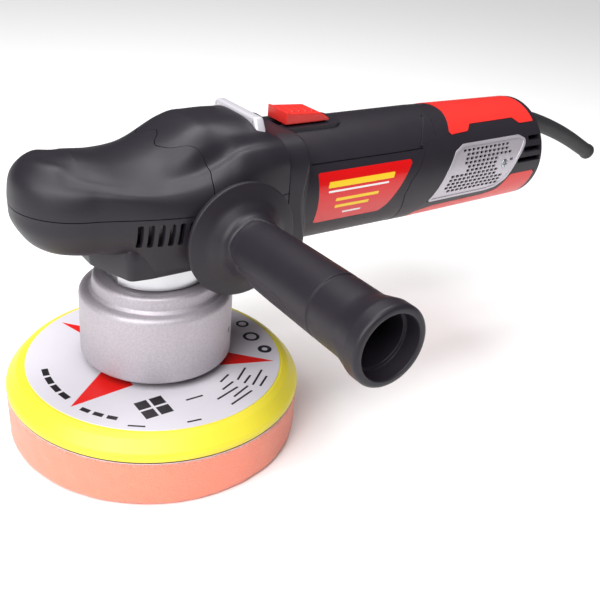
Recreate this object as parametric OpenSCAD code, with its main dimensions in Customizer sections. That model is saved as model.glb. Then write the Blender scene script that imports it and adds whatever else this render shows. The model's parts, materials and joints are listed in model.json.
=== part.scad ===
// Dual action polisher: a geared universal motor turns a counterweight cup, and the pad
// spins freely on a spindle that sits off the cup's centre.
// +Z up from the foam's working face, +X towards the mains cord, origin under the main spindle.

/* [Pad] */
// Radius of the foam pad
foam_r = 75; // [60:1:80]
// Thickness of the foam pad
foam_t = 24.6; // [15:0.1:30]
// Outer radius of the backing plate
plate_r = 75; // [62:0.1:82]
// Height of the backing plate's top face
plate_top_z = 36.7; // [34:0.1:37]
// Radius of the printed disc on the backing plate
label_r = 65.2; // [50:0.1:66]

/* [Orbit] */
// Distance from the main spindle to the pad's own axis
orbit = 2.5; // [2:0.5:5]
// Direction of the pad's axis, seen from above, in degrees
orbit_dir = 232.8; // [0:0.1:360]

/* [Counterweight cup] */
// Outer radius of the cup
cup_r = 38.3; // [36:0.1:40]
// Height of the cup's open rim
cup_z = 41.8; // [39:0.1:42]
// Height where the cup's wall turns into its shoulder
cup_shoulder_z = 78; // [74:0.5:80]
// Height of the cup's top face
cup_top_z = 85.5; // [84:0.1:86]

/* [Motor] */
// Height of the motor's axis
motor_z = 122.5; // [120:0.5:125]
// Outer radius of the motor housing
tube_r = 31.5; // [31:0.1:33]
// Outer radius at the rear end
rear_r = 30; // [29:0.1:31]
// Wall thickness of the plastic housings
wall = 2.8; // [2:0.1:3]
// Where the head ends and the motor housing begins
head_seam_x = 53.5; // [50:0.5:56]
// Position of the rear end face
rear_x = 240.4; // [235:0.1:250]

/* [Bevel gears] */
// Teeth of the pinion on the motor's shaft
pinion_teeth = 9; // [9:1:11]
// Teeth of the gear on the main spindle
gear_teeth = 36; // [32:1:40]
// Outer pitch radius of the gear
gear_r = 24; // [22:0.5:25]

/* [Side handle] */
// Position of the handle's axis along the body
handle_x = 21.1; // [18:0.1:24]
// Height of the handle's axis
handle_z = 116.3; // [114:0.1:118]
// Radius of the handle's guard disc
handle_disc_r = 27.7; // [24:0.1:30]
// Distance of the handle's open end from the middle plane
handle_end_y = 151; // [130:1:160]

/* [Switch] */
// Travel of the slide switch
switch_travel = 7; // [5:0.5:7]

/* [Cord guard] */
// Height where the cord guard leaves the rear face
guard_z = 138.7; // [136:0.1:140]
// Radius of the guard's bore
guard_bore_r = 4; // [3:0.1:4.2]

/* [Hidden] */
$fn = 72;

e = 0.01;              // overlap that keeps cuts clean
gap = 0.3;             // room between parts that move past each other
black = "#2d2a30";
red = "#e0403a";
pad_x = orbit * cos(orbit_dir);
pad_y = orbit * sin(orbit_dir);

// Bevel pair: both pitch cones meet where the spindle and the motor's axis cross.
gear_cone = atan(gear_teeth / pinion_teeth);
pinion_cone = 90 - gear_cone;
cone_l = gear_r / sin(gear_cone);
face_l = 7.5;          // face width of the teeth
tooth_m = 2 * gear_r / gear_teeth;
tooth_add = 0.8 * tooth_m;
tooth_ded = 1.15 * tooth_m;
tooth_share = 0.4;     // share of the pitch that a tooth fills
flank = 20;            // slope of the tooth flanks

// Stations of the head: [x, half width at the crease, top, bottom of the nose]
head = [
    [-68.0, 8, 142.0, 122.0], [-66.0, 15, 146.5, 117.5], [-61.5, 21, 149.8, 113.5],
    [-54.0, 26.3, 151.8, 110.8], [-42.0, 29.5, 151.8, 109.5], [-30.0, 33.5, 149.5, 107.5],
    [-15.0, 38.0, 152.2, 106.0], [-5.0, 40.0, 156.6, 105.0], [6.0, 40.8, 161.8, 104.0],
    [16.0, 40.4, 164.0, 103.0], [27.0, 38.4, 164.0, 101.0], [45.0, 35.0, 162.2, 94.0],
    [head_seam_x, 33.2, 155.0, 91.0]
];
head_split_z = 132;    // seam between the upper and the lower head covers
head_widest_z = 133;   // height where the head is widest
head_square = 3.2;     // below the widest height: 2 gives oval sections, more gives squarer ones
head_crown = 2.1;      // the same above the widest height

function rear_out(x) = x < 150 ? tube_r : tube_r - (tube_r - rear_r) * (x - 150) / (rear_x - 150);

// ---------------------------------------------------------------- shared shapes

// A cylinder along X from x0 to x1, centred on the motor's axis.
module rod_x(x0, x1, r, z = motor_z, y = 0) {
    translate([x0, y, z]) rotate([0, 90, 0]) cylinder(r = r, h = x1 - x0);
}

// A tube along X from x0 to x1, centred on the motor's axis.
module ring_x(x0, x1, r_out, r_in, z = motor_z) {
    difference() {
        rod_x(x0, x1, r_out, z);
        rod_x(x0 - 1, x1 + 1, r_in, z);
    }
}

// A cylinder along Y from y0 to y1.
module rod_y(x, z, y0, y1, r) {
    translate([x, y1, z]) rotate([90, 0, 0]) cylinder(r = r, h = y1 - y0);
}

// A tube along Z.
module ring_z(z0, z1, r_out, r_in) {
    difference() {
        translate([0, 0, z0]) cylinder(r = r_out, h = z1 - z0);
        translate([0, 0, z0 - 1]) cylinder(r = r_in, h = z1 - z0 + 2);
    }
}

// A box given by two corners.
module block(a, b) {
    translate(a) cube(b - a);
}

// Everything inside a side-view outline in XZ, between y0 and y1.
module side_prism(points, y0, y1) {
    translate([0, y1, 0]) rotate([90, 0, 0]) linear_extrude(y1 - y0) polygon(points);
}

// The same shape on both sides of the middle plane.
module both_sides() {
    children();
    mirror([0, 1, 0]) children();
}

// Rounded outline of the head at one station, as points in the plane across X.
function head_ring(s, inset) =
    let (w = s[1] - inset, up = s[2] - head_widest_z - inset, down = head_widest_z - s[3] - inset)
    [for (a = [4.5 : 9 : 355.5]) let (n = a < 180 ? head_crown : head_square) [
        s[0],
        w * pow(abs(cos(a)), 2 / n) * sign(cos(a)),
        head_widest_z + (a < 180 ? up : down) * pow(abs(sin(a)), 2 / n) * sign(sin(a))
    ]];

// Solid between two rings of points.
module span(ring_a, ring_b) {
    n = len(ring_a);
    sides = [for (k = [0 : n - 1]) let (j = (k + 1) % n) [k, j, n + j, n + k]];
    caps = [[for (k = [n - 1 : -1 : 0]) k], [for (k = [0 : n - 1]) n + k]];
    hull() polyhedron(concat(ring_a, ring_b), concat(sides, caps));
}

// Solid body of the head, drawn in by inset.
module head_body(inset) {
    last = len(head) - 1;
    rings = [for (i = [0 : last])
        head_ring(head[i] + [i == 0 ? inset : i == last ? 2 * inset : 0, 0, 0, 0], inset)];
    for (i = [0 : last - 1])
        span(rings[i], rings[i + 1]);
}

// Keel-shaped skirt under the head, which wraps the gear case.
module skirt_body(inset) {
    z0 = 98 + inset;
    hull() {
        for (p = [[-38, 8], [-24, 31], [50, 32]])
            for (s = [-1, 1])
                translate([p[0] + (p[0] < 0 ? inset : 2 * inset), s * (p[1] - inset), z0])
                    cylinder(r1 = 2, r2 = 6, h = 14, $fn = 20);
    }
}

// Region of the upper head behind the wavy seam of the palm cover, seen from above.
module behind_palm_seam() {
    half = [[14, 60], [14, 37], [4, 34], [-8, 30], [-11, 20], [-4, 8], [0, 0]];
    pts = concat(half, [for (i = [len(half) - 2 : -1 : 0]) [half[i][0], -half[i][1]]],
        [[80, -60], [80, 60]]);
    translate([0, 0, 90]) linear_extrude(100) polygon(pts);
}

module head_upper_shell() {
    difference() {
        head_body(0);
        head_body(wall);
        block([-100, -60, 60], [80, 60, head_split_z]);
        trim_bar_shape();
        block([50.6, -17, bed_z], [60, 17, 175]);
    }
}

// ---------------------------------------------------------------- head

module palm_cover() {
    color(black) difference() {
        head_upper_shell();
        behind_palm_seam();
    }
}

module head_top_cover() {
    color(black) intersection() {
        union() {
            head_upper_shell();
            // floor and front wall of the pocket in front of the switch
            difference() {
                intersection() {
                    head_body(1);
                    block([48, -19, 151.8], [head_seam_x, 19, 170]);
                }
                block([50.6, -17, bed_z], [60, 17, 175]);
                trim_bar_shape();
            }
        }
        behind_palm_seam();
    }
}

module head_lower_cover() {
    vents = 6;
    color(black) difference() {
        union() {
            intersection() {
                head_body(0);
                block([-100, -60, 60], [80, 60, head_split_z]);
            }
            skirt_body(0);
        }
        intersection() {
            head_body(wall);
            block([-100, -60, 100.6], [80, 60, 200]);
        }
        skirt_body(wall);
        translate([0, 0, 90]) cylinder(r = 27.5, h = 20);
        for (i = [0 : vents - 1])
            block([-27.5 + 5.3 * i, -60, 116], [-24.2 + 5.3 * i, 60, 127.5]);
        rod_y(handle_x, handle_z, -60, 60, 13.6);
        rod_x(40, 60, tube_r - wall);
    }
}

// Bright or painted bar let into the top of the head, bent down at its ends.
module trim_bar_shape() {
    bar_x = 43.6;
    flat_y = 18;       // half length of the level stretch
    for (t = [[0, flat_y, 0], [flat_y, 20.8, 6.5]])
        for (s = [-1, 1])
            hull() {
                translate([bar_x, s * t[0], 159]) cylinder(r = 2.7, h = 4.6, $fn = 24);
                translate([bar_x, s * t[1], 159 - t[2]]) cylinder(r = 2.7, h = 4.6, $fn = 24);
            }
}

module top_trim_bar() {
    color("silver") trim_bar_shape();
}

module gear_case() {
    color("#a8a8ac") difference() {
        union() {
            translate([0, 0, 98]) cylinder(r = 27, h = 8);
            translate([0, 0, 101]) cylinder(r = 30.5, h = 33);
            translate([0, 0, 134]) cylinder(r1 = 24, r2 = 12, h = 6);
            intersection() {
                rod_x(0, head_seam_x, 28.6);
                block([0, -40, 100.8], [head_seam_x, 40, 152]);
            }
            rod_y(handle_x, handle_z, -42.6, 42.6, 13);
        }
        // gear chamber, top bush seat and lower bearing seat
        translate([0, 0, 103]) cylinder(r = 26.6, h = 24);
        translate([0, 0, 120]) cylinder(r = 8.5, h = 18.5);
        translate([0, 0, 90]) cylinder(r = 17.5, h = 12.5);
        translate([0, 0, 90]) cylinder(r = 14, h = 14);
        // pinion bore and front bearing seat
        rod_x(10, 60, 9);
        rod_x(29, 38.4, 15);
        rod_x(38.4, 60, 13.5);
        // hollow of the motor flange
        rod_x(44, 60, 25.5);
        for (s = [-1, 1])
            rod_y(handle_x, handle_z, s > 0 ? 24.6 : -45, s > 0 ? 45 : -24.6, 4.25);
        case_screw_places() translate([0, 0, -1]) cylinder(r = 2, h = 20);
    }
}

// Four screws hold the motor housing to the gear case.
module case_screw_places() {
    for (a = [45 : 90 : 315])
        translate([0, 0, motor_z]) rotate([a, 0, 0])
            translate([43, 0, 27.05]) rotate([0, 90, 0]) children();
}

module case_screws() {
    color("silver") for (a = [45 : 90 : 315])
        translate([0, 0, motor_z]) rotate([a, 0, 0])
            translate([head_seam_x - 7, 0, 27.05]) rotate([0, 90, 0]) cylinder(r = 1.3, h = 6.8);
}

module bearing_retainer() {
    flat = 24.2;
    color("gainsboro") difference() {
        translate([0, 0, 86.6]) cylinder(r = 25.5, h = 11.4);
        translate([0, 0, 91.5]) cylinder(r = 17.5, h = 10);
        translate([0, 0, 80]) cylinder(r = 12, h = 20);
        // spanner flats
        for (s = [-1, 1])
            block([s > 0 ? flat : -40, -12, 80], [s > 0 ? 40 : -flat, 12, 94]);
    }
}

module spindle_lower_bearing() {
    color("silver") ring_z(92, 102, 17.5, 8.5);
}

module spindle_upper_bush() {
    color("#b08d57") ring_z(128.5, 138.4, 8.5, 6);
}

// ---------------------------------------------------------------- side handle

module handle_grip() {
    y_disc = 43;
    // radius against distance from the middle plane
    outline = [
        [0, y_disc], [handle_disc_r - 1, y_disc], [handle_disc_r, y_disc + 1],
        [handle_disc_r, y_disc + 2.2], [handle_disc_r - 1.2, y_disc + 3],
        [20, y_disc + 5.2], [15.4, y_disc + 9], [13.9, y_disc + 15], [14.2, y_disc + 24],
        [14.7, y_disc + 40], [14.8, y_disc + 73], [14.3, y_disc + 73.4], [14.3, y_disc + 74.6],
        [14.8, y_disc + 75], [15, y_disc + 92], [16, y_disc + 97], [17.4, y_disc + 101],
        [17.5, handle_end_y - 3], [16.4, handle_end_y - 0.6], [15, handle_end_y], [0, handle_end_y]
    ];
    color(black) difference() {
        translate([handle_x, 0, handle_z]) rotate([90, 0, 0]) rotate_extrude() polygon(outline);
        rod_y(handle_x, handle_z, -handle_end_y - 1, -y_disc - 24, 12.6);
        rod_y(handle_x, handle_z, -handle_end_y - 1, -handle_end_y + 8, 14);
        rod_y(handle_x, handle_z, -y_disc - 18, -y_disc + 1, 4.2);
    }
}

module handle_stud() {
    color("silver") rod_y(handle_x, handle_z, -60.9, -25.2, 4.2);
}

// ---------------------------------------------------------------- motor section

bed_z = 153.8;         // flat that the slide switch runs on

// Side-view outline of everything in front of the stepped seam to the rear housing.
seam_outline = [
    [40, 80], [135, 80], [135, 101], [132, 116], [135, 124], [140.5, 129.5], [148, 141.2],
    [156, 143.6], [159, 150.7], [160.5, 154], [160.5, 175], [40, 175]
];

// Square collar with round corners, where the four screws hold the motor to the gear case.
module collar() {
    half = [33.2, 32.3];
    corner = 13;
    translate([head_seam_x, 0, motor_z]) rotate([90, 0, 90]) linear_extrude(10) {
        square([2 * half[0], 2 * (half[1] - corner)], center = true);
        square([2 * (half[0] - corner), 2 * half[1]], center = true);
        for (sy = [-1, 1])
            for (sz = [-1, 1])
                translate([sy * (half[0] - corner), sz * (half[1] - corner)]) circle(r = corner);
    }
}

module motor_housing() {
    color(black) intersection() {
        difference() {
            union() {
                rod_x(head_seam_x, 165, tube_r);
                collar();
                // flat bed that the slide switch runs on
                block([head_seam_x, -17, 140], [103, 17, bed_z]);
            }
            rod_x(40, 180, tube_r - wall);
            block([64.6, -4, 140], [84.8, 4, 160]);
            block([head_seam_x - 1, -17, bed_z], [103, 17, 170]);
            // shallow recess for the sticker
            sticker_cut(0.5);
        }
        side_prism(seam_outline, -50, 50);
    }
}

module sticker_cut(depth) {
    difference() {
        side_prism(sticker_outline, -50, 0);
        rod_x(60, 150, tube_r - depth);
    }
}

sticker_outline = [[73, 108.8], [116, 108.8], [120.5, 112.5], [136.6, 135.5], [73.6, 135.5]];

module body_sticker() {
    color(red) intersection() {
        ring_x(60, 150, tube_r, tube_r - 0.5);
        side_prism(sticker_outline, -50, 0);
    }
}

module air_baffle() {
    color("dimgray") difference() {
        ring_x(75, 78, tube_r - wall, 20);
        block([70, -5, 145], [82, 5, 160]);
    }
}

module stator_core() {
    color("slategray") difference() {
        intersection() {
            rod_x(90, 135, 28.4);
            block([80, -40, motor_z - 24.5], [150, 40, motor_z + 24.5]);
        }
        rod_x(80, 150, 18.5);
        // winding slots beside the two poles
        for (s = [-1, 1])
            block([80, -12, motor_z + s * 18 - 4.5], [150, 12, motor_z + s * 18 + 4.5]);
    }
}

module field_coils() {
    color("#b5622d") for (x = [[83, 89.7], [135.3, 142]])
        difference() {
            ring_x(x[0], x[1], 27, 19.5);
            block([70, -9, 80], [150, 9, 160]);
        }
}

module front_armature_bearing() {
    color("silver") ring_x(29, 38.4, 15, 5);
}

module rear_armature_bearing() {
    color("silver") ring_x(170, 177, 11, 4);
}

module rear_bearing_bracket() {
    color("dimgray") difference() {
        union() {
            ring_x(169, 179, 14.5, 11);
            ring_x(177, 179, 14.5, 6);
            block([170, -28.2, motor_z - 5], [178, -13, motor_z + 5]);
            block([170, 13, motor_z - 5], [178, 28.2, motor_z + 5]);
        }
        rod_x(160, 177, 11);
        rod_x(160, 190, 6);
    }
}

module brush_holders() {
    color("#b08d57") both_sides() difference() {
        block([149, -27, motor_z - 5], [161, -12.5, motor_z + 5]);
        block([151, -30, motor_z - 3], [159, -10, motor_z + 3]);
    }
}

module carbon_brushes() {
    color("#3a3a3c") both_sides()
        block([151.1, -21, motor_z - 2.9], [158.9, -11.15, motor_z + 2.9]);
}

module brush_springs() {
    // spiral pressure spring behind each brush, as its outer sleeve
    color("silver") both_sides() difference() {
        rod_y(155, motor_z, -26.5, -21.05, 2.6);
        rod_y(155, motor_z, -27, -20.5, 1.8);
    }
}

// ---------------------------------------------------------------- rear section

// Cone that follows the rear housing's outside, in or out by grow.
module rear_cone(x0, x1, grow) {
    translate([x0, 0, motor_z]) rotate([0, 90, 0])
        cylinder(r1 = rear_out(x0) + grow, r2 = rear_out(x1) + grow, h = x1 - x0);
}

rear_top_outline = [
    [172.5, 160], [171.6, 152.2], [166, 143.6], [181, 144.2], [184.5, 147], [220.5, 147],
    [224.5, 144.2], [237, 144.2], [237, 160]
];
rear_bottom_outline = [
    [144, 80], [148, 101], [160, 103.6], [200, 104.4], [210, 106.5], [216, 116.4],
    [237, 116.4], [237, 80]
];
grille_outline = [
    [152, 107.6], [161, 125], [168, 135.5], [174.6, 138.6], [221, 138.8], [226, 136.5],
    [225.5, 133.5], [218.5, 124.5], [212.5, 114], [206, 109.2], [198, 108]
];
intake_outline = [[166, 111], [170, 130], [177, 135.5], [203, 135.5], [203, 111]];
skin = 1.3;            // depth of the coloured covers let into the rear housing

module rear_skin(outline, y0, y1, grow) {
    intersection() {
        difference() {
            rear_cone(140, rear_x, grow);
            rear_cone(139, rear_x + 1, -skin);
        }
        side_prism(outline, y0, y1);
    }
}

module rear_housing() {
    color(black) difference() {
        intersection() {
            union() {
                rod_x(130, 150, tube_r);
                rear_cone(150, rear_x, 0);
            }
            difference() {
                block([100, -60, 60], [260, 60, 180]);
                side_prism(seam_outline, -60, 60);
            }
        }
        difference() {
            union() {
                rod_x(120, 150, tube_r - wall);
                rear_cone(150, rear_x - 3, -wall);
            }
        }
        rear_skin(rear_top_outline, -60, 60, 5);
        rear_skin(rear_bottom_outline, -60, 60, 5);
        rear_skin(grille_outline, -60, 60, 5);
        // air intake behind each grille
        both_sides() side_prism(intake_outline, -60, -20);
        // three air slots on each side, which stop short of the rear face
        for (s = [[229, 134.4], [224.5, 128.6], [219.5, 122.8]])
            for (y = [[-60, -22], [22, 60]])
                block([s[0], y[0], s[1]], [rear_x - 1.4, y[1], s[1] + 3]);
        both_sides() rod_y(grille_screw_x, grille_screw_z, -30, -20, 1.6);
        // cord guard hole and dial slot
        rod_x(230, 260, 5.8, guard_z);
        block([233, -3.2, 98], [250, 3.2, 119]);
    }
}

module rear_top_cover() {
    color(red) rear_skin(rear_top_outline, -60, 60, 0.3);
}

module rear_bottom_cover() {
    color(red) rear_skin(rear_bottom_outline, -60, 60, 0);
}

module grille(side) {
    y0 = side > 0 ? 0 : -60;
    color("gainsboro") difference() {
        rear_skin(grille_outline, y0, y0 + 60, 0.2);
        for (i = [0 : 6])
            for (k = [0 : 3])
                block([174 + 4.4 * i - 1.6 * k, y0, 114.5 + 5.6 * k],
                    [176.6 + 4.4 * i - 1.6 * k, y0 + 60, 118 + 5.6 * k]);
        rod_y(grille_screw_x, grille_screw_z, y0, y0 + 60, 2.6);
    }
}

grille_screw_x = 208;
grille_screw_z = 124;

module left_grille() {
    grille(-1);
}

module right_grille() {
    grille(1);
}

module grille_screws() {
    color("silver") both_sides() {
        rod_y(grille_screw_x, grille_screw_z, -30.8, -29.7, 2.6);
        rod_y(grille_screw_x, grille_screw_z, -29.71, -25.5, 1.6);
    }
}

module switch_body() {
    color("dimgray") block([183, -7, 124], [206, 7, 146.6]);
}

module speed_module() {
    color("darkgreen") difference() {
        union() {
            block([184, -14, 100], [222, 14, 104]);
            both_sides() block([221, -4.8, 100], [236, -3.2, 111.5]);
        }
        rod_y(dial_x, dial_z, -10, 10, 1.55);
    }
}

module cord_clamp() {
    color("dimgray") difference() {
        block([222, -13, 127], [229, 13, 134.2]);
        rod_x(215, 235, 4.1, guard_z);
        for (s = [-1, 1])
            translate([225.5, s * 9.5, 120]) cylinder(r = 1.6, h = 20);
    }
}

module clamp_screws() {
    color("silver") for (s = [-1, 1])
        translate([225.5, s * 9.5, 0]) {
            translate([0, 0, 126.9]) cylinder(r = 1.6, h = 7.3);
            translate([0, 0, 134.2]) cylinder(r = 2.8, h = 1.6);
        }
}

// Cord guard: leaves the rear face level, droops in two arcs and ends straight.
bend = [[80, 17], [300, 10]];   // radius and angle of each arc
guard_root = 8;                 // length inside the rear housing
guard_tail = 18;
guard_r = 5.6;
guard_sides = 20;
bend_l = [for (b = bend) b[0] * b[1] * PI / 180];
guard_tilt = bend[0][1] + bend[1][1];

// Slope of the guard's centre line, in degrees below level, at length l from the rear face.
function slope(l) =
    l < bend_l[0] ? max(l, 0) / bend_l[0] * bend[0][1]
    : bend[0][1] + min((l - bend_l[0]) / bend_l[1], 1) * bend[1][1];

// Point at length l along an arc that starts at p with slope a and has radius r.
function arc_point(p, a, r, l) = [
    p[0] + r * (sin(a + l / r * 180 / PI) - sin(a)),
    p[1] - r * (cos(a) - cos(a + l / r * 180 / PI))
];
guard_p1 = arc_point([rear_x, guard_z], 0, bend[0][0], bend_l[0]);
guard_p2 = arc_point(guard_p1, bend[0][1], bend[1][0], bend_l[1]);

// Centre of the guard at length l, as [x, z].
function guard_at(l) =
    l < 0 ? [rear_x + l, guard_z]
    : l < bend_l[0] ? arc_point([rear_x, guard_z], 0, bend[0][0], l)
    : l < bend_l[0] + bend_l[1] ? arc_point(guard_p1, bend[0][1], bend[1][0], l - bend_l[0])
    : guard_p2 + (l - bend_l[0] - bend_l[1]) * [cos(guard_tilt), -sin(guard_tilt)];

// Round sweep along the guard's centre line from length l0 to l1.
module guard_sweep(r, l0, l1) {
    rings = ceil((l1 - l0) / 5);
    n = guard_sides;
    pts = [for (i = [0 : rings]) let (l = l0 + (l1 - l0) * i / rings, c = guard_at(l), t = slope(l))
        for (k = [0 : n - 1]) let (a = 360 * k / n)
            [c[0] + r * sin(a) * sin(t), r * cos(a), c[1] + r * sin(a) * cos(t)]];
    sides = [for (i = [0 : rings - 1]) for (k = [0 : n - 1])
        let (j = (k + 1) % n) [i * n + k, (i + 1) * n + k, (i + 1) * n + j, i * n + j]];
    caps = [[for (k = [0 : n - 1]) k], [for (k = [n - 1 : -1 : 0]) rings * n + k]];
    polyhedron(pts, concat(sides, caps));
}

// Children placed on the guard's last straight stretch, their Z along it.
module at_guard_tail() {
    translate([guard_p2[0], 0, guard_p2[1]]) rotate([0, 90 + guard_tilt, 0]) children();
}

module cord_guard() {
    bend_end = bend_l[0] + bend_l[1];
    color(black) difference() {
        union() {
            guard_sweep(guard_r, -guard_root, bend_end + guard_tail - 1);
            rod_x(rear_x - guard_root, rear_x - 3.05, 8, guard_z);
            at_guard_tail() translate([0, 0, guard_tail - 2]) cylinder(r = guard_r + 0.6, h = 2);
        }
        guard_sweep(guard_bore_r + 0.05, -guard_root - 1, bend_end + 0.5);
        at_guard_tail() cylinder(r = guard_bore_r, h = guard_tail + 1);
    }
}

// ---------------------------------------------------------------- controls

module switch_slider() {
    // side view of the cap: a steep front wall, then a slope to the rear
    cap = [
        [66, 154.9], [92.5, 154.9], [92.5, 156], [87.5, 159.4], [68, 160.6], [66, 161.4]
    ];
    color(red) {
        side_prism(cap, -8.6, 8.6);
        difference() {
            block([72, -3.6, 147.5], [84, 3.6, 155.2]);
            block([76, -2.6, 147], [85, 2.6, 149.6]);
        }
        for (x = [72 : 4 : 80])
            block([x, -5.5, 158], [x + 1.4, 5.5, 161]);
    }
}

module switch_link() {
    color("whitesmoke") block([76, -2.6, 147.5], [190, 2.6, 149.6]);
}

// Thumbwheel that shows through a slot in the rear face.
dial_x = 233.5;
dial_z = 108.5;

module speed_dial() {
    ribs = 24;
    color("dimgray") difference() {
        union() {
            rod_y(dial_x, dial_z, -2.7, 2.7, 9.2);
            rod_y(dial_x, dial_z, -4.8, 4.8, 1.5);
        }
        for (i = [0 : ribs - 1])
            rotate_about_y(dial_x, dial_z, 360 * i / ribs)
                rod_y(dial_x + 9.6, dial_z, -4, 4, 0.7);
    }
}

module rotate_about_y(x, z, a) {
    translate([x, 0, z]) rotate([0, a, 0]) translate([-x, 0, -z]) children();
}

// ---------------------------------------------------------------- armature

module armature_shaft() {
    color("silver") {
        rod_x(17.2, 28, 2.6);
        rod_x(28, 39, 4.95);
        rod_x(39, 164, 5);
        rod_x(164, 177, 3.95);
    }
}

module armature_core() {
    slots = 12;
    color("slategray") difference() {
        ring_x(90, 135, 17.9, 5);
        for (i = [0 : slots - 1])
            translate([0, 0, motor_z]) rotate([i * 360 / slots, 0, 0]) {
                block([80, -0.9, 12], [145, 0.9, 20]);
                block([80, -2, 10], [145, 2, 15.5]);
            }
    }
}

module armature_windings() {
    color("#b5622d") {
        ring_x(82, 90, 16, 5);
        ring_x(135, 144, 16, 5);
    }
}

module commutator() {
    bars = 24;
    color("#b87333") difference() {
        ring_x(146, 163, 11, 5);
        for (i = [0 : bars - 1])
            translate([0, 0, motor_z]) rotate([i * 360 / bars, 0, 0])
                block([145, -0.25, 10], [162, 0.25, 12]);
    }
}

module cooling_fan() {
    blades = 12;
    color("whitesmoke") {
        ring_x(57.5, 60, 24.5, 5);
        ring_x(57.5, 70, 9, 5);
        for (i = [0 : blades - 1])
            translate([0, 0, motor_z]) rotate([i * 360 / blades, 0, 0])
                block([59.5, -0.8, 8.5], [70, 0.8, 24]);
    }
}

// Unit vector from the apex of a pitch cone whose axis is -Z: angle from the axis, then turn.
function cone_dir(angle, turn) = [sin(angle) * cos(turn), sin(angle) * sin(turn), -cos(angle)];

// One straight bevel tooth; its flanks run to the apex of the cones.
module bevel_tooth(cone) {
    add = atan(tooth_add / cone_l);
    ded = atan(tooth_ded / cone_l) + 1;
    half_pitch_w = tooth_share * PI * tooth_m / 2;
    half_tip = half_pitch_w - tooth_add * tan(flank);
    half_root = half_pitch_w + tooth_ded * tan(flank) * 0.6;
    function turn_of(w, angle) = w / (cone_l * sin(angle)) * 180 / PI;
    tip_a = turn_of(half_tip, cone + add);
    root_a = turn_of(half_root, cone - ded);
    pts = [for (l = [cone_l - face_l, cone_l])
        for (c = [[cone - ded, -root_a], [cone - ded, root_a], [cone + add, tip_a],
                [cone + add, -tip_a]])
            l * cone_dir(c[0], c[1])];
    polyhedron(pts, [[0, 1, 2, 3], [7, 6, 5, 4], [0, 4, 5, 1], [1, 5, 6, 2], [2, 6, 7, 3], [3, 7, 4, 0]]);
}

// Root cone of a bevel gear with its back and its bore, on axis -Z with the apex at the origin.
module bevel_blank(cone, hub_r, back, bore_r) {
    root = cone - atan(tooth_ded / cone_l);
    inner = (cone_l - face_l) * [sin(root), -cos(root)];
    outer = cone_l * [sin(root), -cos(root)];
    rotate_extrude() polygon([
        [bore_r, inner[1]], inner, outer, [outer[0], outer[1] - 1.5], [hub_r, -back],
        [bore_r, -back]
    ]);
}

module pinion() {
    color("silver") translate([0, 0, motor_z]) rotate([0, -90, 0]) {
        bevel_blank(pinion_cone, 4.9, 27.8, 2.6);
        for (i = [0 : pinion_teeth - 1])
            rotate([0, 0, 180 + i * 360 / pinion_teeth]) bevel_tooth(pinion_cone);
    }
}

// ---------------------------------------------------------------- main spindle

module spindle() {
    color("silver") {
        translate([0, 0, 72]) cylinder(r = 8.45, h = 32);
        translate([0, 0, 102.4]) cylinder(r = 10.5, h = 2);
        translate([0, 0, 104.4]) cylinder(r = 7, h = 7.6);
        translate([0, 0, 112]) cylinder(r = 5.95, h = 25.5);
    }
}

module bevel_gear() {
    color("slategray") difference() {
        translate([0, 0, motor_z]) {
            bevel_blank(gear_cone, 12, motor_z - 104.4, 4);
            for (i = [0 : gear_teeth - 1])
                rotate([0, 0, (i + 0.5) * 360 / gear_teeth]) bevel_tooth(gear_cone);
        }
        translate([0, 0, 100]) cylinder(r = 7, h = 12);
        translate([0, 0, 100]) cylinder(r = 5.95, h = 30);
    }
}

module gear_nut() {
    gear_face_z = motor_z - (cone_l - face_l) * cos(gear_cone - atan(tooth_ded / cone_l));
    color("silver") difference() {
        translate([0, 0, gear_face_z]) cylinder(r = 8.5, h = 4.2, $fn = 6);
        translate([0, 0, 100]) cylinder(r = 5.95, h = 30);
    }
}

module counterweight_cup() {
    outside = [
        [0, cup_z], [cup_r - 2, cup_z], [cup_r - 0.6, cup_z + 0.6], [cup_r, cup_z + 2], [cup_r, cup_shoulder_z - 3],
        [cup_r - 1, cup_shoulder_z - 0.8], [cup_r - 3.2, cup_shoulder_z],
        [34, cup_shoulder_z - 0.6], [32.6, cup_shoulder_z + 0.6], [31.8, cup_shoulder_z + 3],
        [31.2, cup_top_z - 1.6], [29.6, cup_top_z], [10.5, cup_top_z], [10.5, 91.7], [0, 91.7]
    ];
    color("#bdb8bd") difference() {
        rotate_extrude() polygon(outside);
        // hollow under the shoulder, around the bearing boss
        difference() {
            rotate_extrude() polygon([[0, cup_z - 1], [34.8, cup_z - 1], [34.8, 72], [30, 74.5], [0, 74.5]]);
            translate([pad_x, pad_y, 42]) cylinder(r = 20.5, h = 40);
        }
        translate([pad_x, pad_y, cup_z - 1]) cylinder(r = 16, h = 67 - cup_z);
        translate([pad_x, pad_y, cup_z - 1]) cylinder(r = 13, h = 70 - cup_z);
        translate([pad_x, pad_y, 44.2]) cylinder(r = 17, h = 1.4);
        translate([0, 0, 72]) cylinder(r = 8.45, h = 30);
        // balance hole in the wall
        rotate([0, 0, -45]) translate([30, 0, 58]) rotate([0, 90, 0]) cylinder(r = 1.6, h = 12);
    }
}

module counterweight() {
    // half ring opposite the pad's axis
    color("dimgray") rotate([0, 0, orbit_dir]) difference() {
        ring_z(46, 71.8, 34.7, 25.2);
        block([-5, -40, 40], [40, 40, 80]);
    }
}

module eccentric_bearings() {
    color("silver") translate([pad_x, pad_y, 0]) {
        ring_z(45.7, 54.7, 16, 7.5);
        ring_z(56.5, 65.6, 16, 7.5);
    }
}

module bearing_circlip() {
    color("slategray") translate([pad_x, pad_y, 0]) difference() {
        ring_z(44.3, 45.5, 17, 13.8);
        block([10, -3, 40], [20, 3, 50]);
    }
}

// ---------------------------------------------------------------- pad

module on_pad_axis() {
    translate([pad_x, pad_y, 0]) children();
}

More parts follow.
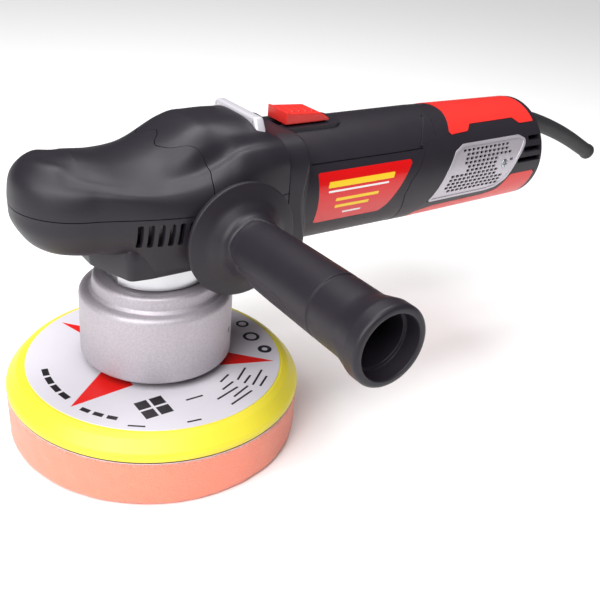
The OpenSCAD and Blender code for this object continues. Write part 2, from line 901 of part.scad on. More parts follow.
module pad_spindle() {
    color("silver") on_pad_axis() {
        translate([0, 0, 45]) cylinder(r = 7.45, h = 22);
        translate([0, 0, 40.4]) cylinder(r = 10, h = 5, $fn = 6);
        translate([0, 0, 27.5]) cylinder(r = 3.95, h = 14);
    }
}

module pad_washer() {
    color("silver") on_pad_axis() ring_z(38.4, 40.4, 9.5, 4.1);
}

module pad_hub() {
    color("slategray") on_pad_axis() {
        ring_z(26, 29, 22, 3.97);
        ring_z(28, 38.3, 10.5, 3.97);
    }
}

module backing_plate() {
    outline = [
        [3, foam_t + 1.2], [plate_r - 1.2, foam_t + 1.2], [plate_r, foam_t + 2.2],
        [plate_r, foam_t + 3.6], [plate_r - 1.4, foam_t + 5.6], [label_r + 3.6, plate_top_z - 1.6],
        [label_r + 1, plate_top_z], [3, plate_top_z]
    ];
    color("#f5e84a") on_pad_axis() difference() {
        rotate_extrude() polygon(outline);
        translate([0, 0, 20]) cylinder(r = 22, h = 9);
        translate([0, 0, 20]) cylinder(r = 10.5, h = 30);
    }
}

module plate_label() {
    color("lightgray") on_pad_axis() ring_z(plate_top_z, plate_top_z + 0.3, label_r, 14);
}

module hook_disc() {
    color("whitesmoke") on_pad_axis()
        translate([0, 0, foam_t]) cylinder(r = foam_r - 0.5, h = 1.2);
}

module foam_pad() {
    color("#f29a84") on_pad_axis() cylinder(r = foam_r, h = foam_t);
}

// ---------------------------------------------------------------- nodes

palm_cover();
head_top_cover();
head_lower_cover();
gear_case();
bearing_retainer();
spindle_lower_bearing();
spindle_upper_bush();
top_trim_bar();
case_screws();
handle_grip();
handle_stud();
motor_housing();
body_sticker();
air_baffle();
stator_core();
field_coils();
front_armature_bearing();
rear_armature_bearing();
rear_bearing_bracket();
brush_holders();
carbon_brushes();
brush_springs();
rear_housing();
rear_top_cover();
rear_bottom_cover();
left_grille();
right_grille();
grille_screws();
switch_body();
speed_module();
cord_clamp();
clamp_screws();
cord_guard();
switch_slider();
switch_link();
speed_dial();
armature_shaft();
armature_core();
armature_windings();
commutator();
cooling_fan();
pinion();
spindle();
bevel_gear();
gear_nut();
counterweight_cup();
counterweight();
eccentric_bearings();
bearing_circlip();
pad_spindle();
pad_washer();
pad_hub();
backing_plate();
plate_label();
hook_disc();
foam_pad();
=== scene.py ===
"""Looks of the dual action polisher: shells, grip, foam, print and materials round the model.

Lengths are in millimetres until mesh_piece() turns them into metres.
X runs from the nose to the cord, the handle points along -Y, and Z is up.
"""

import json
import math

import bmesh
import bpy
import numpy as np
from mathutils import Matrix, Vector


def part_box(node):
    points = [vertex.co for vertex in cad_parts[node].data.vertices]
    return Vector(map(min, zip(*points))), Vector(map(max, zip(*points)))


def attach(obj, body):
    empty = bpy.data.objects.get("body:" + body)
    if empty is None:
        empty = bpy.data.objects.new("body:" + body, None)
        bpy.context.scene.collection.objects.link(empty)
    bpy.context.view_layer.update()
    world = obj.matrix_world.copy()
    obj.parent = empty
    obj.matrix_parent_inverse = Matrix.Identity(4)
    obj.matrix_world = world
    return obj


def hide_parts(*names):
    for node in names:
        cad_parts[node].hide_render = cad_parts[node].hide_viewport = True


MM = 0.001

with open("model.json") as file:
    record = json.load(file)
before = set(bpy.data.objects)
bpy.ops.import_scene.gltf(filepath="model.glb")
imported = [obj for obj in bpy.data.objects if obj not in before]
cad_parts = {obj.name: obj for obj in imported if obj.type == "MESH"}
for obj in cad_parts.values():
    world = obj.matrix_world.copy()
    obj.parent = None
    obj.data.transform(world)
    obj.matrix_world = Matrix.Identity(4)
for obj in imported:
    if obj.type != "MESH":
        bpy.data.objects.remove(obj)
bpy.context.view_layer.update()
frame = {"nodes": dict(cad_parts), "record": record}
nodes = frame["nodes"]


def ease(t):
    """Smooth step from 0 to 1."""
    t = np.clip(t, 0, 1)
    return t * t * (3 - 2 * t)


def node_box(name):
    """Lowest and highest corner of a CAD node, in millimetres."""
    lo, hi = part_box(name)
    return [c / MM for c in lo], [c / MM for c in hi]


# ---------------------------------------------------------------- main sizes

foam_lo, foam_hi = node_box("foam_pad")
plate_lo, plate_hi = node_box("backing_plate")
label_lo, label_hi = node_box("plate_label")
cup_lo, cup_hi = node_box("counterweight_cup")
rear_lo, rear_hi = node_box("rear_housing")
grip_lo, grip_hi = node_box("handle_grip")
screw_lo, screw_hi = node_box("grille_screws")
bar_lo, bar_hi = node_box("top_trim_bar")

PAD = ((foam_lo[0] + foam_hi[0]) / 2, (foam_lo[1] + foam_hi[1]) / 2)
FOAM_R = (foam_hi[0] - foam_lo[0]) / 2
FOAM_TOP = foam_hi[2]
PLATE_R = (plate_hi[0] - plate_lo[0]) / 2
PLATE_Z = plate_lo[2]
PLATE_TOP = plate_hi[2]
LABEL_R = (label_hi[0] - label_lo[0]) / 2
LABEL_TOP = label_hi[2]

AXIS_Z = 122.5                      # motor axis
TUBE_R = (rear_hi[2] - rear_lo[2]) / 2
REAR_X = rear_hi[0]
REAR_R = 30.0
WALL = 2.8
SEAM_X = 53.5                       # head to motor housing
SPLIT_Z = 129.8                     # upper to lower head cover
GAP = 0.22                          # half width of the seams between covers
BED_Z = 153.8                       # floor under the slide switch

HANDLE = ((grip_lo[0] + grip_hi[0]) / 2, (grip_lo[2] + grip_hi[2]) / 2)
HANDLE_END = -grip_lo[1]
HANDLE_DISC_R = (grip_hi[0] - grip_lo[0]) / 2


# ---------------------------------------------------------------- mesh tools


def mesh_piece(name, points, faces):
    """Mesh object from points in millimetres, with outward normals and no double points."""
    mesh = bpy.data.meshes.new(name)
    mesh.from_pydata([[c * MM for c in p] for p in points], [], faces)
    work = bmesh.new()
    work.from_mesh(mesh)
    bmesh.ops.remove_doubles(work, verts=work.verts, dist=1e-7)
    bmesh.ops.recalc_face_normals(work, faces=work.faces)
    work.to_mesh(mesh)
    work.free()
    piece = bpy.data.objects.new(name, mesh)
    bpy.context.scene.collection.objects.link(piece)
    return piece


def loft(name, rows):
    """Closed solid through equal loops of points, with a fan over each end."""
    count, size = len(rows), len(rows[0])
    points = [p for row in rows for p in row]
    faces = []
    for i in range(count - 1):
        for j in range(size):
            a, b = i * size + j, i * size + (j + 1) % size
            faces.append((a, b, b + size, a + size))
    for first in (0, (count - 1) * size):
        centre = len(points)
        points.append(np.mean(points[first:first + size], axis=0))
        faces += [(first + j, first + (j + 1) % size, centre) for j in range(size)]
    return mesh_piece(name, points, faces)


def rounded(corners, steps=5):
    """Closed outline through the corners. A corner's third number is its radius."""
    outline = []
    for i, corner in enumerate(corners):
        p = np.array(corner[:2], float)
        radius = corner[2] if len(corner) > 2 else 0
        if not radius:
            outline.append(tuple(p))
            continue
        back = np.array(corners[i - 1][:2]) - p
        ahead = np.array(corners[(i + 1) % len(corners)][:2]) - p
        back, ahead = back / np.linalg.norm(back), ahead / np.linalg.norm(ahead)
        half = math.acos(np.clip(back @ ahead, -1, 1)) / 2
        middle = (back + ahead) / np.linalg.norm(back + ahead)
        centre = p + middle * radius / math.sin(half)
        start = p + back * radius / math.tan(half) - centre
        end = p + ahead * radius / math.tan(half) - centre
        turn = math.pi - 2 * half
        for k in range(steps + 1):
            t = k / steps
            arm = (math.sin((1 - t) * turn) * start + math.sin(t * turn) * end) / math.sin(turn)
            outline.append(tuple(centre + arm))
    return outline


def refine(outline, step):
    """Closed outline with extra points, so that none are further apart than step."""
    points = []
    for i, a in enumerate(outline):
        b = outline[(i + 1) % len(outline)]
        parts = max(1, math.ceil(math.dist(a, b) / step))
        points += [(a[0] + (b[0] - a[0]) * k / parts, a[1] + (b[1] - a[1]) * k / parts)
                   for k in range(parts)]
    return points


def inner_of(outline, inset):
    """Outline drawn in towards its middle by about inset."""
    points = np.array(outline)
    along = np.roll(points, -1, 0) - np.roll(points, 1, 0)
    side = np.stack([-along[:, 1], along[:, 0]], 1) / np.linalg.norm(along, axis=1)[:, None]
    area = np.sum(points[:, 0] * np.roll(points[:, 1], -1) - points[:, 1] * np.roll(points[:, 0],
                                                                                    -1))
    return [tuple(p) for p in points + side * inset * (1 if area > 0 else -1)]


def lathe(name, outline, centre=(0, 0), axis="z", segments=160, dent=None):
    """Solid of revolution from an outline of (radius, height along the axis).

    centre is the axis's place in the other two coordinates. dent(radius, height, angle)
    says how far the surface sinks at a place.
    """
    place = {
        "z": lambda u, v, h: (centre[0] + u, centre[1] + v, h),
        "y": lambda u, v, h: (centre[0] + u, -h, centre[1] + v),
        "x": lambda u, v, h: (h, centre[0] + u, centre[1] + v),
    }[axis]
    size = len(outline)
    points, faces = [], []
    for i in range(segments):
        a = 2 * math.pi * i / segments
        for r, h in outline:
            if dent:
                r -= dent(r, h, a)
            points.append(place(r * math.cos(a), r * math.sin(a), h))
        for j in range(size):
            p, q = i * size + j, i * size + (j + 1) % size
            nxt = size if i < segments - 1 else -i * size
            faces.append((p, q, q + nxt, p + nxt))
    return mesh_piece(name, points, faces)


def prism(name, outline, lo, hi, plane="xz"):
    """Solid with an outline in the plane, from lo to hi along the other axis."""
    place = {
        "xz": lambda p, t: (p[0], t, p[1]),
        "xy": lambda p, t: (p[0], p[1], t),
        "yz": lambda p, t: (t, p[0], p[1]),
    }[plane]
    n = len(outline)
    points = [place(p, t) for t in (lo, hi) for p in outline]
    faces = [tuple(range(n)), tuple(range(2 * n - 1, n - 1, -1))]
    faces += [(i, (i + 1) % n, n + (i + 1) % n, n + i) for i in range(n)]
    return mesh_piece(name, points, faces)


def block(name, lo, hi):
    """Straight box between two corners."""
    return prism(name, [(lo[0], lo[1]), (hi[0], lo[1]), (hi[0], hi[1]), (lo[0], hi[1])],
                 lo[2], hi[2], "xy")


def bake(piece):
    """Turns a piece's modifiers into its mesh."""
    graph = bpy.context.evaluated_depsgraph_get()
    mesh = bpy.data.meshes.new_from_object(piece.evaluated_get(graph))
    piece.modifiers.clear()
    old, piece.data = piece.data, mesh
    bpy.data.meshes.remove(old)
    mesh.name = piece.name
    return piece


def carve(piece, *tools, operation="DIFFERENCE"):
    """Cuts each tool out of the piece, or joins or intersects it."""
    for tool in tools:
        change = piece.modifiers.new("carve", "BOOLEAN")
        change.operation = operation
        change.solver = "MANIFOLD"
        change.object = tool
        bake(piece)
        bpy.data.objects.remove(tool)
    return piece


def copy_piece(piece, name):
    """Second piece with a mesh of its own."""
    twin = piece.copy()
    twin.data = piece.data.copy()
    twin.name = name
    bpy.context.scene.collection.objects.link(twin)
    return twin


def join(name, parts):
    """One mesh out of several separate closed meshes."""
    work = bmesh.new()
    for part in parts:
        work.from_mesh(part.data)
    mesh = bpy.data.meshes.new(name)
    work.to_mesh(mesh)
    work.free()
    for part in parts:
        bpy.data.objects.remove(part)
    piece = bpy.data.objects.new(name, mesh)
    bpy.context.scene.collection.objects.link(piece)
    return piece


def soften(piece, width, angle=32, segments=2):
    """Rounds the sharp edges of a piece."""
    bevel = piece.modifiers.new("edges", "BEVEL")
    bevel.width = width * MM
    bevel.segments = segments
    bevel.limit_method = "ANGLE"
    bevel.angle_limit = math.radians(angle)
    bevel.use_clamp_overlap = True
    bevel.harden_normals = False
    return piece


def smooth(piece, angle=32):
    """Smooth shading, with edges kept sharp above the angle."""
    piece.data.shade_smooth()
    piece.data.set_sharp_from_angle(angle=math.radians(angle))
    return piece


def settle(piece, material, slot, body, *replaced, angle=32):
    """Last step of each piece: shading, finish, body and the CAD nodes that it stands for."""
    piece.data.materials.clear()
    piece.data.materials.append(material)
    smooth(piece, angle)
    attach(piece, body)
    if replaced:
        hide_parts(*replaced)
    return piece


# ---------------------------------------------------------------- materials


def linear(rgb):
    """Linear colour from 0 to 255 display values."""
    return [((c / 255 + 0.055) / 1.055) ** 2.4 if c > 10 else c / 255 / 12.92 for c in rgb] + [1]


def finish(name, rgb, rough, metal=0.0, grain=0.5, depth=0.06, tint=0.08, tint_size=25,
           rough_span=0.06, coat=0.0, sheen=0.0, specular=0.5, cells=False, subsurface=0.0):
    """Material with a fine surface grain (millimetres), slow colour drift and uneven gloss."""
    material = bpy.data.materials.new(name)
    material.use_nodes = True
    tree = material.node_tree
    shader = tree.nodes["Principled BSDF"]
    place = tree.nodes.new("ShaderNodeTexCoord")

    def texture(kind, size, **inputs):
        node = tree.nodes.new(kind)
        node.inputs["Scale"].default_value = 1 / (size * MM)
        for key, value in inputs.items():
            node.inputs[key].default_value = value
        tree.links.new(place.outputs["Object"], node.inputs["Vector"])
        return node

    drift = texture("ShaderNodeTexNoise", tint_size, Detail=5.0, Roughness=0.6)
    mix = tree.nodes.new("ShaderNodeMix")
    mix.data_type = "RGBA"
    colour = linear(rgb)
    mix.inputs["A"].default_value = [c * (1 - tint) for c in colour[:3]] + [1]
    mix.inputs["B"].default_value = [min(1, c * (1 + tint)) for c in colour[:3]] + [1]
    tree.links.new(drift.outputs["Fac"], mix.inputs["Factor"])
    tree.links.new(mix.outputs["Result"], shader.inputs["Base Color"])

    if cells:
        fine = texture("ShaderNodeTexVoronoi", grain)
        height = fine.outputs["Distance"]
    else:
        fine = texture("ShaderNodeTexNoise", grain, Detail=3.0)
        height = fine.outputs["Fac"]
    bump = tree.nodes.new("ShaderNodeBump")
    bump.inputs["Strength"].default_value = 1.0
    bump.inputs["Distance"].default_value = depth * MM
    tree.links.new(height, bump.inputs["Height"])
    tree.links.new(bump.outputs["Normal"], shader.inputs["Normal"])

    gloss = tree.nodes.new("ShaderNodeMapRange")
    gloss.inputs["To Min"].default_value = max(0.02, rough - rough_span)
    gloss.inputs["To Max"].default_value = min(1, rough + rough_span)
    wear = texture("ShaderNodeTexNoise", 9, Detail=6.0)
    tree.links.new(wear.outputs["Fac"], gloss.inputs["Value"])
    tree.links.new(gloss.outputs["Result"], shader.inputs["Roughness"])

    shader.inputs["Metallic"].default_value = metal
    shader.inputs["Specular IOR Level"].default_value = specular
    shader.inputs["Coat Weight"].default_value = coat
    shader.inputs["Sheen Weight"].default_value = sheen
    if subsurface:
        shader.inputs["Subsurface Weight"].default_value = subsurface
        shader.inputs["Subsurface Radius"].default_value = (0.004, 0.002, 0.001)
    return material


PAINT = {
    "cover_plastic": finish("charcoal_soft_plastic", (38, 34, 41), 0.42, grain=0.35, depth=0.03,
                            specular=0.34),
    "grip_rubber": finish("charcoal_grip_rubber", (37, 33, 40), 0.44, grain=0.3, depth=0.035,
                          specular=0.34),
    "red_plastic": finish("red_satin_plastic", (222, 48, 42), 0.36, grain=0.5, depth=0.012,
                          tint=0.05),
    "sticker": finish("red_gloss_film", (214, 20, 22), 0.2, grain=2, depth=0.004, coat=0.4),
    "cast_alloy": finish("speckled_cast_alloy", (182, 175, 182), 0.5, metal=0.45, grain=0.55,
                         depth=0.1, tint=0.3, tint_size=0.9),
    "case_aluminium": finish("gear_case_aluminium", (150, 150, 154), 0.5, metal=0.8, grain=0.6,
                             depth=0.06, tint_size=2),
    "machined_steel": finish("bright_turned_steel", (205, 205, 208), 0.3, metal=1.0, grain=0.15,
                             depth=0.01, tint=0.04),
    "steel": finish("plain_steel", (180, 182, 186), 0.3, metal=1.0, grain=0.3, depth=0.015),
    "gear_steel": finish("oiled_gear_steel", (120, 118, 116), 0.32, metal=1.0, grain=0.3,
                         depth=0.02),
    "trim_silver": finish("satin_silver_trim", (222, 218, 226), 0.34, metal=0.35, grain=0.3,
                          depth=0.01, tint=0.04),
    "grille_silver": finish("silver_lilac_lacquer", (196, 190, 198), 0.38, metal=0.45, grain=0.3,
                            depth=0.02, tint=0.06),
    "laminations": finish("stacked_laminations", (96, 92, 92), 0.45, metal=0.8, grain=0.6,
                          depth=0.1),
    "copper": finish("enamelled_copper", (176, 88, 44), 0.32, metal=0.9, grain=0.7, depth=0.1),
    "brass": finish("brass", (196, 164, 84), 0.3, metal=1.0, grain=0.4, depth=0.02),
    "carbon": finish("carbon_brush", (30, 30, 32), 0.6, grain=0.3, depth=0.03),
    "inner_plastic": finish("inner_plastic", (34, 33, 36), 0.6, grain=0.5, depth=0.03),
    "white_plastic": finish("white_nylon", (222, 220, 212), 0.45, grain=0.5, depth=0.02),
    "circuit": finish("potted_circuit", (38, 62, 50), 0.5, grain=0.5, depth=0.04),
    "guard_rubber": finish("cord_guard_rubber", (40, 39, 42), 0.58, grain=0.3, depth=0.03),
    "plate_foam": finish("yellow_moulded_plate", (236, 220, 62), 0.42, grain=0.35, depth=0.02,
                         tint=0.04, subsurface=0.05),
    "label_film": finish("pale_label_film", (214, 210, 218), 0.36, grain=1.5, depth=0.006,
                         tint=0.03),
    "hook_fabric": finish("loop_fabric", (232, 204, 200), 0.85, grain=0.5, depth=0.3, sheen=0.5,
                          cells=True),
    "foam": finish("salmon_cell_foam", (255, 142, 116), 0.88, grain=0.7, depth=0.3, tint=0.1,
                   tint_size=3, sheen=0.35, cells=True, subsurface=0.08),
}
INK = {
    "red": finish("red_print", (222, 30, 26), 0.38, grain=1.5, depth=0.004, tint=0.04),
    "dark": finish("dark_print", (34, 32, 36), 0.4, grain=1.5, depth=0.004, tint=0.04),
    "yellow": finish("yellow_print", (244, 204, 40), 0.3, grain=1.5, depth=0.004, tint=0.04),
    "white": finish("white_print", (236, 234, 232), 0.3, grain=1.5, depth=0.004, tint=0.04),
    # Dark matt colour of the painted shadow line in the gap under the backing plate.
    "line": finish("painted_shadow_line", (70, 40, 34), 0.8, grain=0.4, depth=0.1),
}

# Every CAD node takes the finish of its own material slot.
for row in frame["record"]["subparts"]:
    for place in nodes[row["node"]].material_slots:
        place.material = PAINT[row["material_slot"]]


# ---------------------------------------------------------------- head

# The head is a skin through sections. They turn about a point near the nose
# from straight ahead (180 degrees) to the side (270), then move back along X.
# Each section has a crowned top, a soft crease, the rail beside it, the widest
# place, the lower wall and the bottom: (distance from the middle, height).
NOSE_X = -42.0
FAN_R = 25.0                        # length of the turn that counts as one radian
HEAD_KEYS = [
    # where, top, crease, rail, widest, low, edge, bottom
    (("turn", 180), 151.4, (18.0, 150.2), (22.0, 147.8), (26.9, 134.8), (26.2, 122.3),
     (20.3, 112.8), 109.5),
    (("turn", 205), 151.4, (17.2, 150.4), (21.4, 147.8), (27.2, 134.5), (26.8, 122.0),
     (20.7, 112.4), 109.5),
    (("turn", 228), 151.4, (16.6, 149.8), (20.9, 147.0), (27.6, 134.5), (27.2, 121.8),
     (21.2, 112.0), 109.5),
    (("turn", 250), 151.4, (17.0, 147.6), (21.2, 145.4), (28.4, 135.0), (27.7, 121.5),
     (22.0, 112.0), 109.5),
    (("turn", 270), 151.4, (19.6, 145.8), (23.8, 144.0), (29.6, 135.3), (28.8, 121.0),
     (22.8, 111.6), 109.5),
    (("x", -34), 150.2, (23.6, 144.2), (27.2, 142.7), (32.2, 135.2), (31.2, 120.0), (25.0, 111.2),
     109.0),
    (("x", -26), 149.2, (26.2, 143.2), (29.8, 141.6), (34.9, 134.8), (33.3, 118.5), (27.5, 110.4),
     108.6),
    (("x", -15), 150.6, (27.8, 142.9), (31.6, 141.1), (38.0, 134.0), (35.3, 114.0), (31.8, 99.6),
     98.6),
    (("x", -7), 153.8, (28.2, 143.5), (32.2, 141.7), (39.7, 134.0), (36.6, 114.0), (32.2, 99.6),
     98.6),
    (("x", 1), 157.5, (28.1, 144.8), (32.5, 142.8), (40.6, 134.3), (37.2, 114.0), (32.4, 99.6),
     98.6),
    (("x", 8), 160.8, (27.8, 146.1), (32.5, 144.1), (40.8, 135.0), (37.2, 114.0), (32.4, 99.6),
     98.6),
    (("x", 13), 162.6, (27.2, 147.5), (32.2, 145.5), (40.7, 135.6), (37.2, 114.0), (32.4, 99.6),
     98.6),
    (("x", 20), 162.8, (26.6, 149.8), (31.2, 148.0), (39.8, 136.5), (36.8, 114.0), (32.3, 99.6),
     98.6),
    (("x", 27), 162.6, (26.4, 152.9), (30.6, 151.2), (38.4, 137.5), (36.2, 114.0), (32.2, 99.2),
     98.2),
    (("x", 36), 162.2, (26.2, 154.0), (30.2, 152.2), (36.6, 138.5), (35.4, 114.0), (31.8, 98.0),
     96.0),
    (("x", 45), 161.2, (25.8, 154.0), (29.8, 152.0), (35.0, 139.0), (34.4, 113.0), (31.2, 95.5),
     93.0),
    (("x", SEAM_X - 0.4), 155.4, (24.5, 153.4), (29.2, 150.6), (33.4, 139.0), (33.3, 112.0),
     (30.0, 94.0), 91.0),
]


def flow(xs, ys, x):
    """Smooth curve through the points (xs, ys), read at x. ys may hold several columns."""
    xs, ys, x = np.asarray(xs, float), np.asarray(ys, float), np.asarray(x, float)
    slope = np.gradient(ys, xs, axis=0)
    i = np.clip(np.searchsorted(xs, x) - 1, 0, len(xs) - 2)
    step = xs[i + 1] - xs[i]
    t = (x - xs[i]) / step
    if ys.ndim > 1:
        t, step = t[..., None], step[..., None]
    return ((2 * t**3 - 3 * t**2 + 1) * ys[i] + (t**3 - 2 * t**2 + t) * step * slope[i]
            + (3 * t**2 - 2 * t**3) * ys[i + 1] + (t**3 - t**2) * step * slope[i + 1])


def key_length(where):
    """Length along the head's middle line, measured from where the turn ends."""
    kind, value = where
    return math.radians(value - 270) * FAN_R if kind == "turn" else value - NOSE_X


HEAD_S = [key_length(k[0]) for k in HEAD_KEYS]
HEAD_VALUES = [[k[1], *k[2], *k[3], *k[4], *k[5], *k[6], k[7]] for k in HEAD_KEYS]


def head_section(s, inset, count):
    """Half section from the bottom middle to the top middle, as (distance, height)."""
    top, cr, cz, rr, rz, wr, wz, lr, lz, er, ez, bottom = flow(HEAD_S, HEAD_VALUES, s)
    full = ease((s + NOSE_X + 14) / 22)      # the hump's crown is fuller than the palm's
    half = [
        (0, bottom), (er * 0.6, bottom), (er, ez), (lr, lz), (wr + 0.1, (lz + wz) / 2),
        (wr, wz), ((wr + rr) / 2 + 1.2, (wz + rz) / 2 + 1.2), (rr, rz), (cr, cz),
        (cr * (0.72 + 0.10 * full), cz + (top - cz) * (0.45 + 0.07 * full)),
        (cr * (0.38 + 0.13 * full), cz + (top - cz) * (0.86 + 0.04 * full)), (0, top),
    ]
    before, after = (-half[1][0], half[1][1]), (-half[-2][0], half[-2][1])
    points = np.array([before, *half, after])
    run = np.concatenate([[0], np.cumsum(np.sqrt(np.linalg.norm(np.diff(points, axis=0), axis=1)))])
    at = np.linspace(run[1], run[-2], count)
    line = flow(run, points, at)
    if inset:
        along = np.gradient(line, axis=0)
        out = np.stack([along[:, 1], -along[:, 0]], 1)
        line = line - inset * out / np.linalg.norm(out, axis=1)[:, None]
        line[:, 0] = np.maximum(line[:, 0], 0)
        line[0, 0] = line[-1, 0] = 0
    return line


def head_place(s, rho, z, side):
    """Point at a length, a distance from the middle and a height, on one side."""
    if s < 0:
        a = 1.5 * math.pi + s / FAN_R
        return (NOSE_X + rho * math.cos(a), side * -rho * math.sin(a), z)
    return (NOSE_X + s, side * rho, z)


def head_solid(name, inset=0.0, fan_steps=40, steps=100, count=96):
    """The whole head as one closed skin, drawn in by inset and then longer at the rear."""
    rows = np.concatenate([np.linspace(HEAD_S[0], 0, fan_steps),
                           np.linspace(0, HEAD_S[-1], steps)[1:]])
    points, faces = [], []
    for side in (-1, 1):
        start = len(points)
        for s in rows:
            line = head_section(s, inset, count)
            points += [head_place(s, r, z, side) for r, z in line]
        if inset:
            line = head_section(rows[-1], inset, count)
            points += [head_place(rows[-1] + 10, r, z, side) for r, z in line]
        total = len(rows) + (1 if inset else 0)
        for i in range(total - 1):
            for j in range(count - 1):
                a = start + i * count + j
                faces.append((a, a + 1, a + count + 1, a + count))
        rear = start + (total - 1) * count
        x = points[rear][0]
        centre = len(points)
        points.append((x, 0, AXIS_Z))
        faces += [(rear + j, rear + j + 1, centre) for j in range(count - 1)]
    return mesh_piece(name, points, faces)


# Seam between the palm cover and the top cover: X against distance from the middle.
WAVE_Y = [0, 3.6, 7.6, 10.3, 13.7, 17, 20.4, 24.1, 28.8, 35.8, 45, 60]
WAVE_X = [0, -1.6, -5, -5.6, -3.8, -0.7, 5.6, 10, 11.4, 9.6, 8, 8]


def behind_wave(shift):
    """Plan outline of everything behind the wavy seam."""
    ys = np.linspace(-60, 60, 161)
    xs = flow(WAVE_Y, WAVE_X, np.abs(ys)) + shift
    return [(x, y) for x, y in zip(xs, ys)] + [(90, 60), (90, -60)]


def bar_solid(name, grow=0.0):
    """Silver bar across the top, level in the middle and bent down at its ends."""
    ys = np.concatenate([[-21.4], np.linspace(-21, -16, 12), np.linspace(-15, 15, 21),
                         np.linspace(16, 21, 12), [21.4]])
    mid_x = (bar_lo[0] + bar_hi[0]) / 2
    half_w = (bar_hi[0] - bar_lo[0]) / 2 + grow
    top = bar_hi[2]
    rows = []
    for y in ys:
        drop = 6.2 * np.clip((abs(y) - 17.4) / 4, 0, 1) ** 1.6
        w = half_w
        section = rounded([(-w, -4.6 - grow), (w, -4.6 - grow), (w, grow, 1.4), (-w, grow, 1.4)], 4)
        tilt = math.radians(60) * ease((abs(y) - 16.6) / 3.4) * (1 if y > 0 else -1)
        rows.append([(mid_x + u, y + v * math.sin(tilt), top - drop + v * math.cos(tilt))
                     for u, v in section])
    return loft(name, rows)


SKIRT_PLAN = [(-36.8, 6.5, 5), (-27.6, 30.3, 3.5), (-18, 31.6, 20), (20, 31.8, 20), (50, 31)]
SKIRT_ROWS = [                      # height, and how far the wall stands out from its plan
    (98.3, -0.35), (98.45, -0.1), (98.8, 0), (103, 0.7), (108, 0.9), (112, 0.5), (117, -1.6),
    (121, -5),
]


def skirt(name, inset=0.0):
    """Keel-shaped wall round the gear case, which stands out below the nose."""
    corners = ([(x, -y, *c) for x, y, *c in SKIRT_PLAN]
               + [(x, y, *c) for x, y, *c in SKIRT_PLAN[::-1]])
    plan = refine(rounded(corners, 6), 1.2)
    rows = []
    for z, grow in SKIRT_ROWS:
        rows.append([(x, y, z + (inset if z < 99 else 0)) for x, y in inner_of(plan, inset - grow)])
    return loft(name, rows)


head = carve(head_solid("head"), skirt("skirt"), operation="UNION")
hollow = carve(head_solid("hollow", WALL), skirt("skirt_room", WALL), operation="UNION")
carve(head, hollow)
lower_cover = copy_piece(head, "head_lower")
bay = rounded([(50.2, -17, 3), (60, -17), (60, 17), (50.2, 17, 3)], 5)
carve(head, block("below", (-100, -70, 60), (90, 70, SPLIT_Z + GAP)), bar_solid("bar_cut", 0.25),
      prism("switch_bay", bay, BED_Z, 180, "xy"))
top_cover = copy_piece(head, "hump_cover")
carve(head, prism("wave", behind_wave(-GAP), 60, 200, "xy"))
carve(top_cover, prism("wave", behind_wave(GAP), 60, 200, "xy"), operation="INTERSECT")
pocket = block("pocket_floor", (47.2, -19, 151.4), (SEAM_X, 19, 153.6))
settle(head, PAINT["grip_rubber"], "grip_rubber", "housing", "palm_cover")
head.name = "palm_shell"
settle(top_cover, PAINT["cover_plastic"], "cover_plastic", "housing", "head_top_cover")
settle(pocket, PAINT["cover_plastic"], "cover_plastic", "housing")

carve(lower_cover, block("above", (-100, -70, SPLIT_Z - GAP), (90, 70, 200)))
carve(lower_cover, lathe("spindle_bore", [(0, 80), (27.5, 80), (27.5, 110), (0, 110)]))
VENTS, VENT_START, VENT_PITCH = 8, -26, 4.5
VENT_W, VENT_LO, VENT_HI, VENT_ROUND = 2.6, 115.8, 127.2, 0.9
for i in range(VENTS):
    x = VENT_START + VENT_PITCH * i
    vent = rounded([(u, z, VENT_ROUND) for u, z in (
        (x, VENT_LO), (x + VENT_W, VENT_LO), (x + VENT_W, VENT_HI), (x, VENT_HI))], 4)
    for side in (-1, 1):
        carve(lower_cover, prism("vent", vent, *sorted((side * 25, side * 60))))
BOSS_R = 13.3                       # hole round the handle's boss
for side in (-1, 1):
    bore = [(0, side * 25), (BOSS_R, side * 25), (BOSS_R, side * 60), (0, side * 60)]
    carve(lower_cover, lathe("boss_hole", bore, HANDLE, "y", 96))
settle(lower_cover, PAINT["cover_plastic"], "cover_plastic", "housing", "head_lower_cover")
settle(bar_solid("crown_bar"), PAINT["trim_silver"], "trim_silver", "housing", "top_trim_bar",
       angle=50)


# ---------------------------------------------------------------- side handle


PANEL = 128.0                       # direction that the middle of a panel faces
PANEL_HALF = 15.4                   # half its width round the grip
PANEL_START, PANEL_END = 56.0, 101.0


def panel_depth(along, angle):
    """How far the grip's surface sinks: two long panels with a pocket along each edge."""
    turned = (math.degrees(angle) - PANEL + 90) % 180 - 90
    across = abs(math.radians(turned)) * 14.7
    corner = 8.0
    u = max(PANEL_START + corner - along, 0)
    v = across - (PANEL_HALF - corner)
    edge = math.hypot(u, max(v, 0)) - corner if u or v > 0 else -corner
    fade = float(ease((PANEL_END - along) / 4))
    line = 0.5 * math.exp(-2.2 * (edge / 0.7) ** 2) * fade
    reach = max(PANEL_START + 8 - along, along - PANEL_END, 0)
    pocket = math.hypot(reach, across - PANEL_HALF - 1.9) - 1.5
    return line + 0.55 * float(ease(0.5 - pocket / 0.9))


